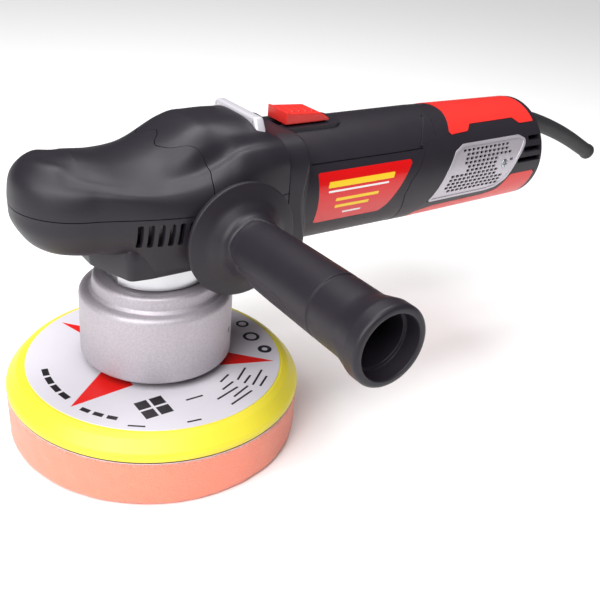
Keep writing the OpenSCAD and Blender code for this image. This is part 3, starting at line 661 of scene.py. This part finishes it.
def grip_solid():
    """Guard disc, grip with its two panels, lip and deep hollow."""
    d = 43.0                            # inner face of the guard disc
    corners = [
        (0, d), (HANDLE_DISC_R, d, 1.0), (HANDLE_DISC_R, d + 2.6, 0.9), (20.2, d + 5.0, 8),
        (15.0, d + 9.4, 5), (13.9, d + 15.5, 20), (14.5, d + 40, 60), (14.9, d + 73, 0.3),
        (14.3, d + 73.5, 0.2),
        (14.3, d + 74.5, 0.2), (14.9, d + 75, 0.3), (15, d + 92, 18), (17.5, d + 101, 4),
        (17.5, HANDLE_END, 1.9), (14, HANDLE_END, 0.7), (14, HANDLE_END - 8, 0.4),
        (12.6, HANDLE_END - 8.4, 0.4), (12.6, d + 24, 2), (0, d + 24),
    ]

    def dent(radius, along, angle):
        outside = radius > 13.2 and d + 8 < along < HANDLE_END - 20
        return panel_depth(along, angle) if outside else 0

    return lathe("side_handle", refine(rounded(corners, 7), 0.6), HANDLE, "y", 216, dent)


settle(grip_solid(), PAINT["grip_rubber"], "grip_rubber", "housing", "handle_grip", angle=40)


# ---------------------------------------------------------------- motor section

SEAM_OUTLINE = [
    (40, 80), (135, 80), (135, 101), (132, 116), (135, 124), (140.5, 129.5), (148, 141.2),
    (156, 143.6), (159, 150.7), (160.5, 154), (160.5, 175), (40, 175),
]
STICKER = [(73, 108.8, 1.2), (116, 108.8, 2), (120.5, 112.5, 4), (136.6, 135.5, 1.5),
           (73.6, 135.5, 1.2)]
GROOVE = [(70.7, 139.4), (139.5, 139.4), (143, 141), (148.5, 147), (155, 152)]


def ring_x(name, x0, x1, r_out, r_in, segments=200):
    """Tube round the motor's axis."""
    outline = [(r_in, x0), (r_out, x0), (r_out, x1), (r_in, x1)]
    return lathe(name, outline, (0, AXIS_Z), "x", segments)


def motor_skin():
    """Round tube that swells to a square collar with round corners at its front."""
    xs = [SEAM_X, SEAM_X + 0.5, *np.arange(55, 74, 0.75), *np.arange(76, 166, 5)]
    count, rows = 240, []
    for x in xs:
        row = []
        for k in range(count):
            a = 2 * math.pi * k / count
            c, s = abs(math.cos(a)), abs(math.sin(a))
            square = ((c / 33.2) ** 3.9 + (s / 32.3) ** 3.9) ** (-1 / 3.9)
            start = 60.8 + 5.2 * abs(math.sin(2 * a)) ** 2
            t = ease((x - start) / 4.6)
            r = square * (1 - t) + TUBE_R * t
            if x == SEAM_X:
                r -= 0.4
            row.append((x, r * math.cos(a), AXIS_Z + r * math.sin(a)))
        rows.append(row)
    return loft("motor_shell", rows)


def strip(line, width):
    """Outline of a band of that width along an open line."""
    line = np.array(line, float)
    along = np.gradient(line, axis=0)
    side = np.stack([-along[:, 1], along[:, 0]], 1) / np.linalg.norm(along, axis=1)[:, None]
    shift = side * width / 2
    return [tuple(p) for p in line + shift] + [tuple(p) for p in (line - shift)[::-1]]


def wrapped(name, outline, x0, x1, r_out, r_in, side=-1):
    """Patch of a tube wall inside a side-view outline, on one side only."""
    tool = ring_x(name, x0, x1, r_out, r_in)
    lo, hi = sorted((0, side * 60))
    return carve(tool, prism("cut", outline, lo, hi), operation="INTERSECT")


motor = motor_skin()
BED_END, BED_HALF = 101, 11.5       # flat under the switch: where it ends, and half its width
bed = rounded([(SEAM_X, -BED_HALF), (BED_END, -BED_HALF, 7), (BED_END, BED_HALF, 7),
               (SEAM_X, BED_HALF)], 8)
carve(motor, prism("bed", bed, 140, BED_Z, "xy"), operation="UNION")
BORE = [(0, 40), (TUBE_R - WALL, 40), (TUBE_R - WALL, 180), (0, 180)]
carve(motor, lathe("bore", BORE, (0, AXIS_Z), "x"))
carve(motor, block("above_bed", (SEAM_X - 1, -17, BED_Z), (103, 17, 180)),
      block("link_slot", (64.6, -4, 140), (84.8, 4, 160)))
carve(motor, wrapped("sticker_bed", rounded(STICKER, 5), 60, 150, 36, TUBE_R - 0.5))
for side in (-1, 1):
    groove = strip(flow(range(5), GROOVE, np.linspace(0, 4, 33)), 0.8)
    carve(motor, wrapped("groove", groove, 60, 160, 36, TUBE_R - 0.6, side))
front = [(x - 0.4 * (x > 100), z) for x, z in SEAM_OUTLINE]
carve(motor, prism("front", front, -60, 60), operation="INTERSECT")
settle(motor, PAINT["cover_plastic"], "cover_plastic", "housing", "motor_housing")

film = wrapped("side_film", rounded(STICKER, 5), 60, 150, TUBE_R, TUBE_R - 0.45)
settle(film, PAINT["sticker"], "sticker", "housing", "body_sticker")


def stripe(name, ink, x0, x1, z0, z1, slant=0.0):
    """Printed bar on the sticker."""
    outline = rounded([(x0, z0, 0.4), (x1, z0, 0.4), (x1 + slant, z1, 0.4),
                       (x0 + slant, z1, 0.4)], 3)
    band = wrapped(name, outline, 60, 150, TUBE_R + 0.06, TUBE_R - 0.2)
    settle(band, INK[ink], "sticker", "housing")


stripe("film_band_a", "yellow", 79, 122, 127.6, 130.6, 1.2)
stripe("film_band_b", "white", 79, 118.5, 125.2, 126.2, 0.6)
stripe("film_band_c", "yellow", 84, 112, 120.2, 121.8, 0.6)
stripe("film_band_d", "yellow", 84, 106, 116.4, 118.0, 0.6)
stripe("film_band_e", "white", 90, 102, 112.6, 113.6, 0.4)


# ---------------------------------------------------------------- switch


def slider():
    """Cap of the slide switch: raised lip in front, long slope behind, grip ridges."""
    cap = rounded([(66, 154.9), (92.5, 154.9, 0.4), (92.5, 156, 1), (87.5, 159.3, 6),
                   (68.4, 160.5, 3),
                   (66.1, 161.4, 0.5)], 6)
    piece = prism("slide_button", cap, -8.6, 8.6)
    soften(piece, 0.9, 60, 4)
    bake(piece)
    carve(piece, block("foot", (72, -3.6, 147.5), (84, 3.6, 155.4)), operation="UNION")
    carve(piece, block("link_room", (75.9, -2.7, 147), (85, 2.7, 149.7)))
    for x in (72, 76, 80, 84):
        carve(piece, lathe("ridge",
                           rounded([(0, -5.6), (1.0, -5.6, 0.6), (1.0, 5.6, 0.6), (0, 5.6)], 4),
                           (x, 159.85 - 0.05 * (x - 72)), "y", 24), operation="UNION")
    return piece


settle(slider(), PAINT["red_plastic"], "red_plastic", "switch", "switch_slider", angle=40)


# ---------------------------------------------------------------- rear section

REAR_TOP = [
    (172.5, 160), (171.6, 152.2), (166, 143.6, 1.2), (181, 144.2, 2), (184.5, 147, 2),
    (220.5, 147, 2),
    (224.5, 144.2, 2), (237, 144.2, 1), (237, 160),
]
REAR_BOTTOM = [
    (144, 80), (148, 101, 2), (160, 103.6, 10), (200, 104.4, 10), (210, 106.5, 6), (216, 116.4, 3),
    (237, 116.4, 2.5), (237, 80),
]
GRILLE = [
    (152, 107.6, 1.5), (161, 125, 8), (168, 135.5, 5), (174.6, 138.6, 4), (221, 138.8, 4),
    (226, 136.5, 1.5),
    (225.5, 133.5, 1), (218.5, 124.5, 5), (212.5, 114, 5), (206, 109.2, 5), (198, 108, 5),
]
SKIN = 1.3                          # thickness of the let-in covers
GRILLE_SCREW = ((screw_lo[0] + screw_hi[0]) / 2, (screw_lo[2] + screw_hi[2]) / 2)


def rear_radius(x):
    """Radius of the tapered rear housing."""
    return TUBE_R - (TUBE_R - REAR_R) * max(0, x - 150) / (REAR_X - 150)


def rear_cover(name, outline, proud, sides=(-60, 60)):
    """Coloured cover let into the rear housing, inside a side-view outline."""
    x0, x1 = 140, REAR_X
    shell = lathe(name, [(rear_radius(x0) - SKIN + 0.05, x0), (rear_radius(150) + proud, x0),
                         (rear_radius(150) + proud, 150), (rear_radius(x1) + proud, x1),
                         (rear_radius(x1) - SKIN + 0.05, x1),
                         (rear_radius(150) - SKIN + 0.05, 150)],
                  (0, AXIS_Z), "x", 240)
    return carve(shell, prism("cut", outline, *sides), operation="INTERSECT")


for name, outline, proud, stands_for in (
        ("rear_crown_cover", REAR_TOP, 0.3, "rear_top_cover"),
        ("rear_belly_cover", REAR_BOTTOM, 0.1, "rear_bottom_cover")):
    red_cover = rear_cover(name, rounded(outline, 5), proud)
    soften(red_cover, 0.35, 40, 2)
    settle(red_cover, PAINT["red_plastic"], "red_plastic", "housing", stands_for)

def point_in(point, outline):
    """Whether a point lies inside a closed outline."""
    x, z = point
    inside = False
    for i, (xa, za) in enumerate(outline):
        xb, zb = outline[i - 1]
        if (za > z) != (zb > z) and x < (xb - xa) * (z - za) / (zb - za) + xa:
            inside = not inside
    return inside


SLOT_W, SLOT_H = 2.75, 1.6
SLOT_DX, SLOT_DZ = 3.5, 2.2
SLOT_ROUND = 0.35
SCREW_FIELD_R = 6.2                 # plain field round the screw


def grille(name, side):
    """Lacquered grille with a border, rows of small slots and a plain field round its screw."""
    lo, hi = sorted((0, side * 60))
    outline = rounded(GRILLE, 5)
    piece = rear_cover(name, outline, 0.35, (lo, hi))
    field = inner_of(outline, 1.5)
    slot_area = inner_of(outline, 2.4)
    floor_tool = rear_cover("field", field, 4, (lo, hi))
    kept = [(0, 138), (rear_radius(150) - 0.05, 138), (rear_radius(150) - 0.05, 150),
            (rear_radius(REAR_X) - 0.05, REAR_X), (0, REAR_X)]
    carve(floor_tool, lathe("kept", kept, (0, AXIS_Z), "x", 240))
    carve(piece, floor_tool)
    tools = []
    for row in range(13):
        z = 109.9 + SLOT_DZ * row
        for col in range(16):
            x = 160 + SLOT_DX * col + (SLOT_DX / 2 if row % 2 else 0) - 0.35 * (z - 110) + 3.6
            near_screw = math.hypot(x + SLOT_W / 2 - GRILLE_SCREW[0],
                                    z + SLOT_H / 2 - GRILLE_SCREW[1]) < SCREW_FIELD_R
            corners = [(x, z), (x + SLOT_W, z), (x + SLOT_W, z + SLOT_H), (x, z + SLOT_H)]
            inside = all(point_in(c, slot_area) for c in corners)
            if inside and not near_screw and x > (174 if z > 121 else 161):
                slot = rounded([(*c, SLOT_ROUND) for c in corners], 2)
                tools.append(prism("slot", slot, lo, hi))
    carve(piece, join("slots", tools))
    hole = [(0, side * -15), (2.7, side * -15), (2.7, side * -60), (0, side * -60)]
    carve(piece, lathe("screw_hole", hole, GRILLE_SCREW, "y", 48))
    settle(piece, PAINT["grille_silver"], "grille_silver", "housing",
           "left_grille" if side < 0 else "right_grille")


grille("near_grille", -1)
grille("far_grille", 1)


def cross_screw(side):
    """Pan-head screw with a cross recess."""
    face = -screw_lo[1]
    head = lathe("head", rounded([(0, side * (face - 1.3)), (2.6, side * (face - 1.3), 0.2),
                                  (2.6, side * face, 0.5), (0, side * (face + 0.35))], 4),
                                  GRILLE_SCREW, "y", 48)
    x, z = GRILLE_SCREW
    for w, h in ((1.7, 0.3), (0.3, 1.7)):
        lo, hi = sorted((-side * (face - 0.8), -side * (face + 2)))
        carve(head, block("cross", (x - w, lo, z - h), (x + w, hi, z + h)))
    return head


screws = join("cross_screws", [cross_screw(1), cross_screw(-1)])
settle(screws, PAINT["steel"], "steel", "housing", "grille_screws")

# Cast counterweight cup: hollow below, with the eccentric bearing's boss inside.
CUP_R = (cup_hi[0] - cup_lo[0]) / 2
cup = lathe("cast_cup", rounded([
    (34.8, cup_lo[2], 0.4), (CUP_R, cup_lo[2], 2.2), (CUP_R, 78, 3.4), (33.4, 77.6, 1.0),
    (31.9, 79.2, 1.0),
    (31.3, 85.5, 2.2), (10.5, 85.5, 0.5), (10.5, cup_hi[2], 0.4), (8.5, cup_hi[2]), (8.5, 74.5),
    (30, 74.5, 1),
    (34.8, 72, 1),
], 6), segments=220)
boss = lathe("boss", [(16, cup_lo[2]), (20.4, cup_lo[2]), (20.4, 75), (16, 75)], PAD, segments=120)
carve(cup, boss, operation="UNION")
hole = lathe("hole", [(0, 30), (1.6, 30), (1.6, 45), (0, 45)], (0, 58), "x", 32)
hole.data.transform(Matrix.Rotation(math.radians(-45), 4, "Z"))
carve(cup, hole)
settle(cup, PAINT["cast_alloy"], "cast_alloy", "drive_spindle", "counterweight_cup", angle=40)

# Cord guard: two gentle arcs, then a straight end with a small lip.
GUARD_Z = 138.7
GUARD_ARCS = ((80.0, 17.0), (300.0, 10.0))
GUARD_TAIL = 18.0


def guard_line(step=1.5):
    """Points and slopes along the guard, from inside the housing to its end."""
    x, z, slope = REAR_X - 8, GUARD_Z, 0.0
    out = [(x, z, slope, -8.0)]
    arcs = [(r * math.radians(d), math.radians(d)) for r, d in GUARD_ARCS]
    for length, turn in [(8.0, 0.0), *arcs, (GUARD_TAIL, 0.0)]:
        parts = math.ceil(length / step)
        for _ in range(parts):
            slope += turn / parts / 2
            x, z = x + length / parts * math.cos(slope), z - length / parts * math.sin(slope)
            slope += turn / parts / 2
            out.append((x, z, slope, out[-1][3] + length / parts))
    return out


def guard_tube(name, radius):
    """Round rod along the guard's line, with a radius that changes along it."""
    rows = []
    for x, z, slope, run in guard_line():
        r = radius(run)
        rows.append([(x + r * math.sin(a) * math.sin(slope), r * math.cos(a),
                      z + r * math.sin(a) * math.cos(slope)) for a in np.linspace(0, 2 * math.pi,
                                                                                  49)[:-1]])
    return loft(name, rows)


guard_end = guard_line()[-1][3]
guard = guard_tube("flex_guard", lambda run: 5.55 - 0.75 * max(run, 0) / guard_end
                   + 0.45 * float(ease((run - guard_end + 3.4) / 1.2)))
carve(guard, guard_tube("bore", lambda run: 4.0))
settle(guard, PAINT["guard_rubber"], "guard_rubber", "housing", "cord_guard", angle=40)

# These two CAD nodes stay, with small rounds on their edges.
for name in ("rear_housing", "bearing_retainer"):
    smooth(nodes[name], 30)
    soften(nodes[name], 0.3)


# ---------------------------------------------------------------- pad

plate = lathe("yellow_plate", rounded([
    (10.5, PLATE_Z + 3.2), (22, PLATE_Z + 3.2), (22, PLATE_Z), (PLATE_R - 0.2, PLATE_Z, 0.8),
    (PLATE_R, PLATE_Z + 2.6, 2.4), (PLATE_R - 1.0, PLATE_Z + 4.4, 2.0),
    (69.5, PLATE_TOP - 1.5, 3.0),
    (66.5, PLATE_TOP, 1.2), (10.5, PLATE_TOP, 0.4),
], 6), PAD, segments=240)
settle(plate, PAINT["plate_foam"], "plate_foam", "pad", "backing_plate", angle=40)

label = lathe("label_disc", [
    (14, PLATE_TOP), (LABEL_R, PLATE_TOP), (LABEL_R, LABEL_TOP - 0.1), (LABEL_R - 0.1, LABEL_TOP),
    (14.1, LABEL_TOP), (14, LABEL_TOP - 0.1),
], PAD, segments=240)
settle(label, PAINT["label_film"], "label_film", "pad", "plate_label")

rng = np.random.default_rng(7)


def foam_solid():
    """Foam disc with a soft lower edge and a slightly uneven wall."""
    outline = refine(rounded([(0, 0), (FOAM_R - 0.4, 0, 3.5), (FOAM_R - 0.1, FOAM_TOP, 1.2),
                              (0, FOAM_TOP)], 8), 1.5)
    waves = [(rng.integers(3, 40), rng.uniform(0, 6.28), rng.uniform(0.1, 0.5),
              rng.uniform(0, 6.28)) for _ in range(24)]

    def dent(radius, height, angle):
        if radius <= FOAM_R - 5:
            return 0
        return 0.12 + 0.1 * sum(math.sin(n * angle + p) * math.sin(k * height + q)
                                for n, p, k, q in waves) / 3

    return lathe("foam_disc", outline, PAD, segments=240, dent=dent)


foam = settle(foam_solid(), PAINT["foam"], "foam", "pad", "foam_pad", angle=60)

HOOK_TOP = PLATE_Z - 0.45           # a dark shadow line lies between the loops and the plate
hook = lathe("loop_layer", rounded([
    (0, FOAM_TOP), (FOAM_R - 0.5, FOAM_TOP, 0.3), (FOAM_R - 0.5, HOOK_TOP, 0.25), (0, HOOK_TOP),
], 3), PAD, segments=240)
settle(hook, PAINT["hook_fabric"], "hook_fabric", "pad", "hook_disc")

# Painted shadow: a dark matt disc fills the gap between the loop layer and the plate, where shade
# falls.
painted_shadow_disc = lathe("painted_shadow_ring", rounded([
    (0, HOOK_TOP), (FOAM_R - 0.55, HOOK_TOP), (FOAM_R - 0.3, PLATE_Z, 0.1), (0, PLATE_Z),
], 3), PAD, segments=240)
settle(painted_shadow_disc, INK["line"], "hook_fabric", "pad")


FIBRES = 3400


def fuzz():
    """Short loose fibres along the edge of the loop layer."""
    points, faces = [], []
    for _ in range(FIBRES):
        a = rng.uniform(0, 2 * math.pi)
        z = rng.uniform(FOAM_TOP - 0.3, PLATE_Z - 0.5)
        length = rng.uniform(0.5, 1.5)
        lean = rng.uniform(-0.012, 0.012)
        fall = rng.uniform(-0.9, 0.5)
        base = len(points)
        for k, t in enumerate((0, 0.5, 1)):
            r = FOAM_R - 0.7 + length * t
            h = z + fall * t * t
            half = 0.06 * (1 - 0.7 * t)
            for turn in range(3):
                b = 2 * math.pi * turn / 3
                angle = a + lean * t + half * math.cos(b) / FOAM_R
                points.append((PAD[0] + r * math.cos(angle), PAD[1] + r * math.sin(angle),
                               h + half * math.sin(b)))
            if k:
                for turn in range(3):
                    p = base + (k - 1) * 3 + turn
                    q = base + (k - 1) * 3 + (turn + 1) % 3
                    faces.append((p, q, q + 3, p + 3))
        faces += [(base, base + 1, base + 2), (base + 6, base + 8, base + 7)]
    return mesh_piece("loop_fuzz", points, faces)


settle(fuzz(), PAINT["hook_fabric"], "hook_fabric", "pad")

PRINT_LO, PRINT_HI = LABEL_TOP - 0.02, LABEL_TOP + 0.05


def printed(name, ink, outlines):
    """Flat printed shapes on the label. Places are measured from the pad's middle."""
    parts = [prism("print", [(PAD[0] + x, PAD[1] + y) for x, y in o], PRINT_LO, PRINT_HI, "xy")
             for o in outlines]
    settle(join(name, parts), INK[ink], "label_film", "pad")


def polar(radius, degrees):
    """Point at a radius and direction."""
    return radius * math.cos(math.radians(degrees)), radius * math.sin(math.radians(degrees))


def wedge(tip_r, base_r, degrees, spread):
    """Slim triangle that points outwards."""
    return [polar(tip_r, degrees), polar(base_r, degrees + spread),
            polar(base_r * 0.8, degrees), polar(base_r, degrees - spread)]


def bar(radius, degrees, length, height):
    """Bar across the direction that it lies in."""
    a = math.radians(degrees + 90)
    u = np.array([math.cos(a), math.sin(a)]) * length / 2
    v = np.array([-math.sin(a), math.cos(a)]) * height / 2
    c = np.array(polar(radius, degrees))
    return [tuple(c - u - v), tuple(c + u - v), tuple(c + u + v), tuple(c - u + v)]


def ring(x, y, r_out, r_in, steps=40):
    """Ring drawn as one outline with a hair-wide slit."""
    turns = np.linspace(0.02, 2 * math.pi - 0.02, steps)
    outer = [(x + r_out * math.cos(a), y + r_out * math.sin(a)) for a in turns]
    inner = [(x + r_in * math.cos(a), y + r_in * math.sin(a)) for a in turns[::-1]]
    return outer + inner


printed("label_wedges", "red",
        [wedge(60, 30, -157, 20), wedge(62, 35, -33, 11), wedge(61, 38, 120, 8)])
icon = (-21.4, -41.8)
printed("label_icons", "dark", [
    ring(54.5, -7, 4.6, 2.9), ring(57.4, 7.2, 3.6, 2.2), ring(54.1, -21.5, 3.8, 1.6),
    *[[(icon[0] + dx + sx * 3.2, icon[1] + dy + sy * 3.2)
       for sx, sy in ((-1, -1), (1, -1), (1, 1), (-1, 1))]
      for dx in (-3.9, 3.9) for dy in (-3.9, 3.9)],
])
printed("label_bars", "dark", [
    bar(r, a, length, 1.1) for r, a, length in (
        (58, -70, 16), (54.5, -66, 12), (50.5, -72, 15), (46.5, -66, 9),
        (60, -52, 10), (56, -50, 15), (52, -54, 8), (47.5, -50, 12),
        (44, -91, 9), (41.5, -60, 8), (61, -99, 7), (62, -124, 8))
] + [bar(56, a, 6.2, 3.2) for a in (170, 178, 186, 194)]
  + [bar(58, a, 5, 2.6) for a in (-150, -143, -136)])


# ---------------------------------------------------------------- floor, light and camera

white = bpy.data.materials.new("studio_floor")
white.use_nodes = True
matt = white.node_tree.nodes["Principled BSDF"].inputs
matt["Base Color"].default_value = (0.93, 0.93, 0.93, 1)
matt["Roughness"].default_value = 0.9
matt["Specular IOR Level"].default_value = 0.1
floor = block("floor", (-9000, -9000, -10), (9000, 9000, 0))
floor.data.materials.append(white)

# Soft sky: pale at the horizon and bright overhead.
world = bpy.data.worlds.new("studio")
world.use_nodes = True
sky = world.node_tree
spot = sky.nodes.new("ShaderNodeTexCoord")
split = sky.nodes.new("ShaderNodeSeparateXYZ")
ramp = sky.nodes.new("ShaderNodeMapRange")
ramp.inputs["From Min"].default_value = 0.15
ramp.inputs["From Max"].default_value = 0.9
ramp.inputs["To Min"].default_value = 0.5
ramp.inputs["To Max"].default_value = 1.0
sky.links.new(spot.outputs["Generated"], split.inputs["Vector"])
sky.links.new(split.outputs["Z"], ramp.inputs["Value"])
sky.links.new(ramp.outputs["Result"], sky.nodes["Background"].inputs["Strength"])
bpy.context.scene.world = world


def aim(piece, place, target):
    """Puts a lamp at a place, turned towards a target."""
    turn = (Vector(target) - Vector(place)).to_track_quat("-Z", "Y").to_matrix().to_4x4()
    piece.matrix_world = Matrix.Translation(Vector(place) * MM) @ turn


def softbox(name, place, target, size, power):
    """Rectangular lamp of that size in millimetres and power in watts."""
    light = bpy.data.lights.new(name, "AREA")
    light.shape = "RECTANGLE"
    light.size, light.size_y = size[0] * MM, size[1] * MM
    light.energy = power
    lamp = bpy.data.objects.new(name, light)
    bpy.context.scene.collection.objects.link(lamp)
    aim(lamp, place, target)


sun = bpy.data.lights.new("key_sun", "SUN")
sun.energy, sun.angle = 2.3, math.radians(40)
key = bpy.data.objects.new("key_sun", sun)
bpy.context.scene.collection.objects.link(key)
aim(key, (-500, -700, 1400), (50, 0, 80))
softbox("left_box", (-900, -300, 700), (20, 0, 110), (700, 700), 9)
softbox("top_box", (100, 200, 1100), (80, 0, 120), (900, 500), 9)

CAMERA = dict(place=(-167.9, -341.8, 274.3), azimuth=-37.16, elevation=27.98, roll=5.28,
              lens=50.376)
a, e, roll = (math.radians(CAMERA[k]) for k in ("azimuth", "elevation", "roll"))
back = Vector((math.sin(a) * math.cos(e), -math.cos(a) * math.cos(e), math.sin(e)))
level = Vector((math.cos(a), math.sin(a), 0))
above = back.cross(level)
right = level * math.cos(roll) + above * math.sin(roll)
up = above * math.cos(roll) - level * math.sin(roll)
lens = bpy.data.cameras.new("camera")
lens.sensor_width = 36
lens.lens = CAMERA["lens"]
lens.clip_start, lens.clip_end = 0.01, 50
camera = bpy.data.objects.new("camera", lens)
bpy.context.scene.collection.objects.link(camera)
turn = Matrix((right, up, back)).transposed().to_4x4()
camera.matrix_world = Matrix.Translation(Vector(CAMERA["place"]) * MM) @ turn
bpy.context.scene.camera = camera
bpy.context.scene.view_settings.view_transform = "Standard"
